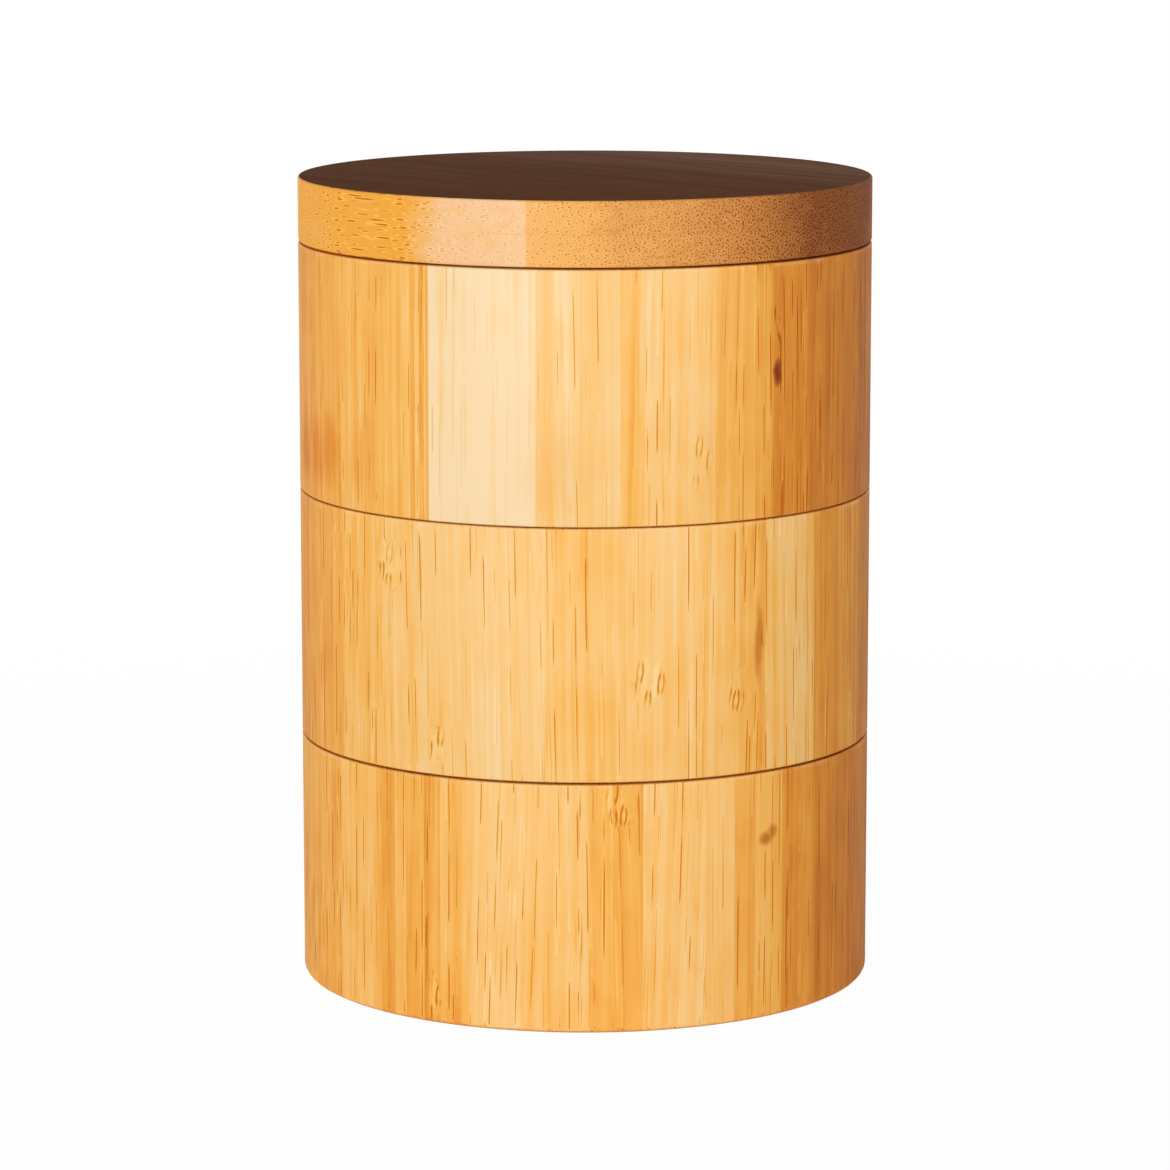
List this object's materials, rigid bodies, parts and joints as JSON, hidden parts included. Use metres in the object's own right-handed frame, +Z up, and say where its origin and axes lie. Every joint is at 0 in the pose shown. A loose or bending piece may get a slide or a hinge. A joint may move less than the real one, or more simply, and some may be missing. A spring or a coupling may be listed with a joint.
{
  "type": "spice box",
  "caption": "Round laminated bamboo spice box: stacked tiers and a flat lid swing out sideways about a hidden rod, and magnets hold each level shut.",
  "frame": {"origin": "centre of the round base, on the surface that the box stands on", "axes": "+Z up along the stack, -Y towards the front where the magnets are, +Y towards the pivot rod at the back"},
  "size_m": [0.09, 0.09, 0.127],
  "materials": {
    "bamboo_wall": "upright laminated bamboo, turned and oiled, satin",
    "bamboo_floor": "flat laminated bamboo, sanded",
    "bamboo_lid": "flat laminated bamboo with a dark brown top face, satin",
    "steel": "turned steel, satin",
    "nickel": "nickel-plated, bright",
    "brass": "machined brass, satin",
    "nylon": "natural nylon, matte"
  },
  "bodies": {
    "bottom_tier": {"bottom_tier_wall": "bamboo_wall", "bottom_tier_floor": "bamboo_floor", "bottom_tier_bush": "brass", "bottom_tier_thrust_washer": "nylon", "bottom_tier_rim_magnet": "nickel", "wave_washer": "steel"},
    "middle_tier": {"middle_tier_wall": "bamboo_wall", "middle_tier_floor": "bamboo_floor", "middle_tier_bush": "brass", "middle_tier_thrust_washer": "nylon", "middle_tier_rim_magnet": "nickel", "middle_tier_base_magnet": "nickel"},
    "top_tier": {"top_tier_wall": "bamboo_wall", "top_tier_floor": "bamboo_floor", "top_tier_bush": "brass", "top_tier_thrust_washer": "nylon", "top_tier_rim_magnet": "nickel", "top_tier_base_magnet": "nickel"},
    "lid": {"lid_panel": "bamboo_lid", "lid_magnet": "nickel", "lid_insert": "brass", "pivot_rod": "steel", "pivot_nut": "steel"}
  },
  "joints": [
    {"name": "middle_tier_swivel", "type": "hinge", "parent": "bottom_tier", "child": "middle_tier", "pos_m": [0, 0.03975, 0.039], "axis": [0, 0, 1], "continuous": true},
    {"name": "top_tier_swivel", "type": "hinge", "parent": "middle_tier", "child": "top_tier", "pos_m": [0, 0.03975, 0.078], "axis": [0, 0, 1], "continuous": true},
    {"name": "lid_swivel", "type": "hinge", "parent": "top_tier", "child": "lid", "pos_m": [0, 0.03975, 0.117], "axis": [0, 0, 1], "continuous": true}
  ]
}
